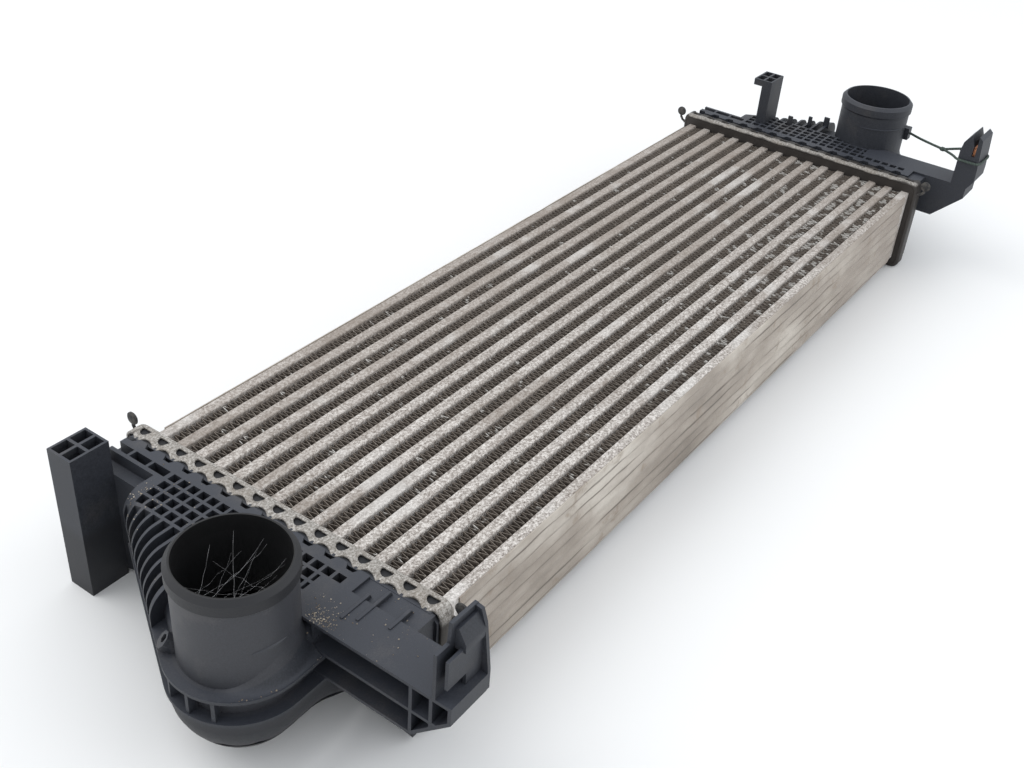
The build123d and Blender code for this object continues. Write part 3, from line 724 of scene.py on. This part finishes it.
tank_pieces = {}
for name, side in (("inlet_tank", -1), ("outlet_tank", 1)):
    shape = copy_node(name)
    bmesh.ops.remove_doubles(shape, verts=shape.verts, dist=1e-6)
    # the lower bowl is cut into a fine net, by planes some millimetres apart, and then drawn up
    # into a rounded scoop
    cuts = [((0, 0, level / 1000), (0, 0, 1)) for level in range(8, 46, 4)]
    cuts += [((side * (core_half + out / 1000), 0, 0), (1, 0, 0)) for out in range(18, 112, 5)]
    cuts += [((0, across / 1000, 0), (0, 1, 0)) for across in range(-60, 90, 6)]
    for place, normal in cuts:
        low_part = [face for face in shape.faces
                    if max(vert.co.z for vert in face.verts) < bowl_rim
                    and min(abs(vert.co.x) for vert in face.verts) > tank_foot]
        edges = {edge for face in low_part for edge in face.edges}
        verts = {vert for face in low_part for vert in face.verts}
        bmesh.ops.bisect_plane(shape, geom=list(verts) + list(edges) + low_part, dist=1e-6,
                               plane_co=place, plane_no=normal)
    for vert in shape.verts:
        out = abs(vert.co.x) - core_half
        beside_bowl = vert.co.y > bowl_side or (out < bracket_out and vert.co.y < bracket_across)
        if vert.co.z <= bowl_top and out >= bowl_foot and not beside_bowl:
            level = scoop_level(out, vert.co.y)
            vert.co.z = level + (vert.co.z - bowl_floor) * (bowl_top - level) / (bowl_top - bowl_floor)
    tank_pieces[name] = take(shape)
    smooth(add_mesh(name + "_moulding", *tank_pieces[name], plastic_shade, "black_plastic", name), 32)

# Flares: on the bracket's side the wall spreads out from the neck down to the upper flange, in
# one smooth hollow curve. It is part of the same moulding, and dust collects on it.

neck_radius = 0.03105
flange_radius = 0.0383
flange_level = 0.0651
flare_start = 205
flare_end = 308.6
flare_steps = 34
flare_rows = 9
flare_foot = 0.0654
flare_height = 0.0171
flare_rise = 0.78
for side in (-1, 1):
    corners = []
    for i in range(flare_steps + 1):
        turn = math.radians(flare_start + (flare_end - flare_start) * i / flare_steps)
        crest = flare_foot + flare_height * ease(i / flare_steps / flare_rise)
        top = Vector((neck_radius * math.cos(turn), neck_radius * math.sin(turn), crest))
        if turn < math.radians(270):
            foot = Vector((flange_radius * math.cos(turn), flange_radius * math.sin(turn), flange_level))
        else:
            foot = Vector((top.x, -flange_radius, flange_level))
        for j in range(flare_rows + 1):
            part = j / flare_rows
            point = top.lerp(foot, part)
            point.z = foot.z + (top.z - foot.z) * (1 - part) ** 2
            corners.append((side * (neck_out - point.x), point.y + neck_across, point.z))
    faces = net_faces(flare_steps, flare_rows)
    if side < 0:
        faces = [tuple(reversed(face)) for face in faces]
    smooth(add_mesh(f"flare_{'inlet' if side < 0 else 'outlet'}", corners, faces, plastic_shade,
                    "black_plastic"), 60)

# Ribs and tabs: the inlet's shelf has three low ribs across it, and the outlet's lattice has
# three upright tabs along its outer edge. Both are part of the same mouldings.


def soft_block(name, low, high, shade, slot, round_over):
    """A small moulded block between two corners, with rounded edges and a slight draft."""
    mesh = bmesh.new()
    made = bmesh.ops.create_cube(mesh, size=1.0)["verts"]
    for vert in made:
        taper = 0.9 if vert.co.z > 0 else 1.0
        vert.co = Vector(((low[0] + high[0]) / 2 + vert.co.x * (high[0] - low[0]) * taper,
                          (low[1] + high[1]) / 2 + vert.co.y * (high[1] - low[1]) * taper,
                          (low[2] + high[2]) / 2 + vert.co.z * (high[2] - low[2])))
    bmesh.ops.bevel(mesh, geom=list(mesh.edges), offset=round_over, segments=3, profile=0.5,
                    affect="EDGES")
    smooth(add_mesh(name, *take(mesh), shade, slot), 50)


block_foot = 0.0815
rib_top = 0.0848
tab_top = 0.092
block_half = 0.001
for label, across, start, end in (("near", -0.065, 0.0229, 0.0463), ("middle", -0.072, 0.0147, 0.0428),
                                  ("far", -0.088, 0.0181, 0.0367)):
    soft_block("shelf_rib_" + label, (-core_half - end, across - block_half, block_foot),
               (-core_half - start, across + block_half, rib_top), plastic_shade, "black_plastic", 0.0004)
for label, out, across, width in (("left", 0.049, 0.046, 0.0026), ("middle", 0.062, 0.031, 0.002),
                                  ("right", 0.072, 0.018, 0.003)):
    soft_block("lattice_tab_" + label, (core_half + out - block_half, across - width, block_foot),
               (core_half + out + block_half, across + width, tab_top), plastic_shade,
               "black_plastic", 0.0005)

# Dust and webs: road dust has settled as loose grains on the inlet tank, mostly beside the
# neck and on the flanges. Spiders have left a few strands inside the neck.

grain_shade = Shade("dry_dust", 0.9)
grain_tone = grain_shade.noise(0.01, 2.0)
grain_shade.feed("Base Color", grain_shade.colour(grain_tone, (0.4, (0.20, 0.155, 0.11)),
                                                  (0.62, (0.52, 0.46, 0.38))))
grain_shade.bump(grain_tone, 0.0002, 0.4)
tank_tree = bvhtree.BVHTree.FromPolygons(*tank_pieces["inlet_tank"])
scatter = random.Random(41)
dust_spots = ((420, (-0.387, -0.056), 0.013), (160, (-0.40, 0.02), 0.035), (220, (-0.375, 0.075), 0.02),
              (240, (-0.428, -0.057), 0.014), (60, (-0.362, -0.09), 0.03))
above = 0.2
flattest = 0.35
neck_wall = 0.1
corners = []
faces = []
for count, centre, reach in dust_spots:
    for grain in range(count):
        x = scatter.gauss(centre[0], reach / 2)
        y = scatter.gauss(centre[1], reach / 2)
        hit, normal, _, _ = tank_tree.ray_cast(Vector((x, y, above)), Vector((0, 0, -1)))
        if hit is None or normal.z < flattest or hit.z > neck_wall:
            continue
        size = 0.00016 + 0.0005 * scatter.random() ** 3
        base = len(corners)
        for axis in range(3):
            for way in (-1, 1):
                offset = Vector((0, 0, 0))
                offset[axis] = way * size * scatter.uniform(0.5, 1.1)
                corners.append(tuple(hit + normal * size * 0.3 + offset))
        faces += [(base + a, base + 2 + b, base + 4 + c) for a in (0, 1) for b in (0, 1) for c in (0, 1)]
add_mesh("dust_grains", corners, faces, grain_shade, "black_plastic")

web_shade = Shade("spider_thread", 0.6)
web_tone = web_shade.noise(0.004, 2.0)
web_shade.feed("Base Color", web_shade.colour(web_tone, (0.4, (0.30, 0.30, 0.31)),
                                              (0.6, (0.62, 0.62, 0.64))))
web_shade.feed("Roughness", 0.4 + web_tone * 0.3)
spin = random.Random(7)
web = bpy.data.curves.new("spider_threads", "CURVE")
web.dimensions = "3D"
web.bevel_depth = 0.00005
web.bevel_resolution = 0
neck_centre = Vector((-neck_out, neck_across, 0.0))
bore_radius = 0.0285
strand_count = 22
strand_parts = 8
for strand in range(strand_count):
    first = spin.uniform(0, 2 * math.pi)
    second = first + spin.uniform(1.6, 3.3)
    height = spin.uniform(0.088, 0.114)
    ends = [neck_centre + Vector((bore_radius * math.cos(a), bore_radius * math.sin(a),
                                  height + spin.uniform(-0.012, 0.006))) for a in (first, second)]
    thread = web.splines.new("POLY")
    thread.points.add(strand_parts)
    for step in range(strand_parts + 1):
        share = step / strand_parts
        sag = -0.006 * math.sin(share * math.pi) * spin.uniform(0.5, 1.0)
        point = ends[0].lerp(ends[1], share) + Vector((spin.gauss(0, 0.0002), spin.gauss(0, 0.0002), sag))
        thread.points[step].co = (*point, 1.0)
add_piece("spider_threads", web, web_shade, "black_plastic")

# Neck band and crease: a thin band on the core's side of the outlet's neck, level with the lug
# that holds the tether, and a short crease low on the inlet's neck, moulded with their tanks.

band_steps = 28
band_foot = 0.0308
band_wall = 0.0311
for name, side, start, sweep, level, tall, proud in (("neck_strap", 1, 170, 110, 0.1030, 0.0010, 0.0008),
                                                     ("neck_crease", -1, 238, 38, 0.0876, 0.0016, 0.0009)):
    corners = []
    for i in range(band_steps + 1):
        turn = math.radians(start + sweep * i / band_steps)
        swell = math.sin(math.pi * i / band_steps) ** 0.6 if 0 < i < band_steps else 0.05
        crest = band_wall + proud * swell
        for radius, share in ((band_foot, -1.0), (crest, -0.5), (crest, 0.5), (band_foot, 1.0)):
            corners.append((side * neck_out + radius * math.cos(turn), neck_across + radius * math.sin(turn),
                            level + share * tall * swell))
    faces = net_faces(band_steps, 3)
    faces += [(0, 3, 2, 1), tuple(band_steps * 4 + j for j in range(4))]
    smooth(add_mesh(name, corners, faces, plastic_shade, "black_plastic"), 30)

# Clip: a small copper-coloured metal insert in the slot of the outlet's arm. It is pressed in
# and held by its own spring.

copper_shade = Shade("dull_copper", 0.45, 0.8)
copper_grain = copper_shade.noise(0.0015, 3.0, 0.6)
copper_shade.feed("Base Color", copper_shade.colour(copper_grain, (0.35, (0.38, 0.14, 0.06)),
                                                    (0.65, (0.75, 0.36, 0.20))))
copper_shade.bump(copper_grain, 0.0001, 0.5)
dress("arm_clip", copper_shade)

# Tether: a thin braided cord from the lug on the outlet's neck to one loop round the arm,
# tied with a knot. It is taut between lug and knot.

cord_shade = Shade("dark_cord", 0.75)
cord_braid = cord_shade.noise(0.0008, 2.0, 0.5)
cord_shade.feed("Base Color", cord_shade.colour(cord_braid, (0.35, (0.018, 0.030, 0.024)),
                                                (0.65, (0.075, 0.10, 0.085))))
cord_shade.bump(cord_braid, 0.0003, 0.8)
lug = Vector((0.416, -0.0605, 0.096))
knot = Vector((0.383, -0.1015, 0.103))
loop = [(0.3825, -0.1026, 0.103), (0.3700, -0.1150, 0.1055), (0.3597, -0.1203, 0.107),
        (0.3597, -0.1300, 0.107), (0.3597, -0.1412, 0.107), (0.3750, -0.1412, 0.107),
        (0.3902, -0.1412, 0.107), (0.3902, -0.1300, 0.107), (0.3902, -0.1203, 0.107),
        (0.3870, -0.1110, 0.1050), (0.3840, -0.1026, 0.103)]
lead = [tuple(lug), (0.4075, -0.0713, 0.0972), (0.3995, -0.0808, 0.0990), (0.3910, -0.0915, 0.1010),
        tuple(knot)]
tether = bpy.data.curves.new("tether", "CURVE")
tether.dimensions = "3D"
tether.bevel_depth = 0.0011
tether.bevel_resolution = 3
for points in (lead, loop):
    strand = tether.splines.new("NURBS")
    strand.points.add(len(points) - 1)
    for point, place in zip(strand.points, points):
        point.co = (*place, 1.0)
    strand.order_u = 3
    strand.use_endpoint_u = True
add_piece("tether", tether, cord_shade, "cord_plastic", "tether_cord")
knot_mesh = bmesh.new()
bmesh.ops.create_icosphere(knot_mesh, subdivisions=3, radius=1.0)
knot_size = Vector((0.0021, 0.0026, 0.0020))
for vert in knot_mesh.verts:
    ball = vert.co.copy()
    twist = 0.14 * math.sin(5 * math.atan2(ball.y, ball.x) + 4 * ball.z)
    vert.co = knot + ball * (1 + twist) * knot_size
smooth(add_mesh("tether_knot", *take(knot_mesh), cord_shade, "cord_plastic"), 80)

# Stage: a pale floor under soft studio light, seen from above the inlet's corner. The camera's
# place and axes come from fitting the object's edges to the photograph.

floor_shade = Shade("pale_floor", 0.85)
floor_cloud = floor_shade.noise(0.8, 2.0)
floor_shade.feed("Base Color", floor_shade.colour(floor_cloud, (0.3, (0.84, 0.843, 0.846)),
                                                  (0.7, (0.88, 0.882, 0.885))))
floor_half = 6
floor_mesh = bpy.data.meshes.new("floor")
floor_mesh.from_pydata([(-floor_half, -floor_half, 0), (floor_half, -floor_half, 0),
                        (floor_half, floor_half, 0), (-floor_half, floor_half, 0)], [], [(0, 1, 2, 3)])
floor = bpy.data.objects.new("floor", floor_mesh)
bpy.context.scene.collection.objects.link(floor)
floor_mesh.materials.append(floor_shade.material)

world = bpy.data.worlds.new("studio")
bpy.context.scene.world = world
world.use_nodes = True
sky = world.node_tree.nodes["Background"]
sky.inputs["Color"].default_value = (0.95, 0.975, 1.0, 1.0)
sky.inputs["Strength"].default_value = 1.0

lamp_size = 2.4
for label, place, power, tint in (("window", (-0.9, 1.5, 2.2), 24.0, (1.0, 0.99, 0.97)),
                                  ("fill", (0.9, -1.8, 1.6), 10.0, (0.96, 0.98, 1.0))):
    data = bpy.data.lights.new(label, "AREA")
    data.shape = "DISK"
    data.size = lamp_size
    data.energy = power
    data.color = tint
    lamp = bpy.data.objects.new(label, data)
    lamp.location = place
    lamp.rotation_euler = (-Vector(place)).to_track_quat("-Z", "Y").to_euler()
    bpy.context.scene.collection.objects.link(lamp)

camera_data = bpy.data.cameras.new("camera")
camera_data.lens = 42.22
camera_data.sensor_width = 36.0
camera = bpy.data.objects.new("camera", camera_data)
bpy.context.scene.collection.objects.link(camera)
right = Vector((0.58294, -0.80981, 0.06621))
down = Vector((-0.42850, -0.37564, -0.82175))
forward = Vector((0.69034, 0.45066, -0.56599))
place = Vector((-0.68716, -0.35578, 0.51821))
camera.matrix_world = Matrix(((right.x, -down.x, -forward.x, place.x),
                              (right.y, -down.y, -forward.y, place.y),
                              (right.z, -down.z, -forward.z, place.z),
                              (0.0, 0.0, 0.0, 1.0)))
bpy.context.scene.camera = camera
bpy.context.scene.view_settings.view_transform = "Standard"
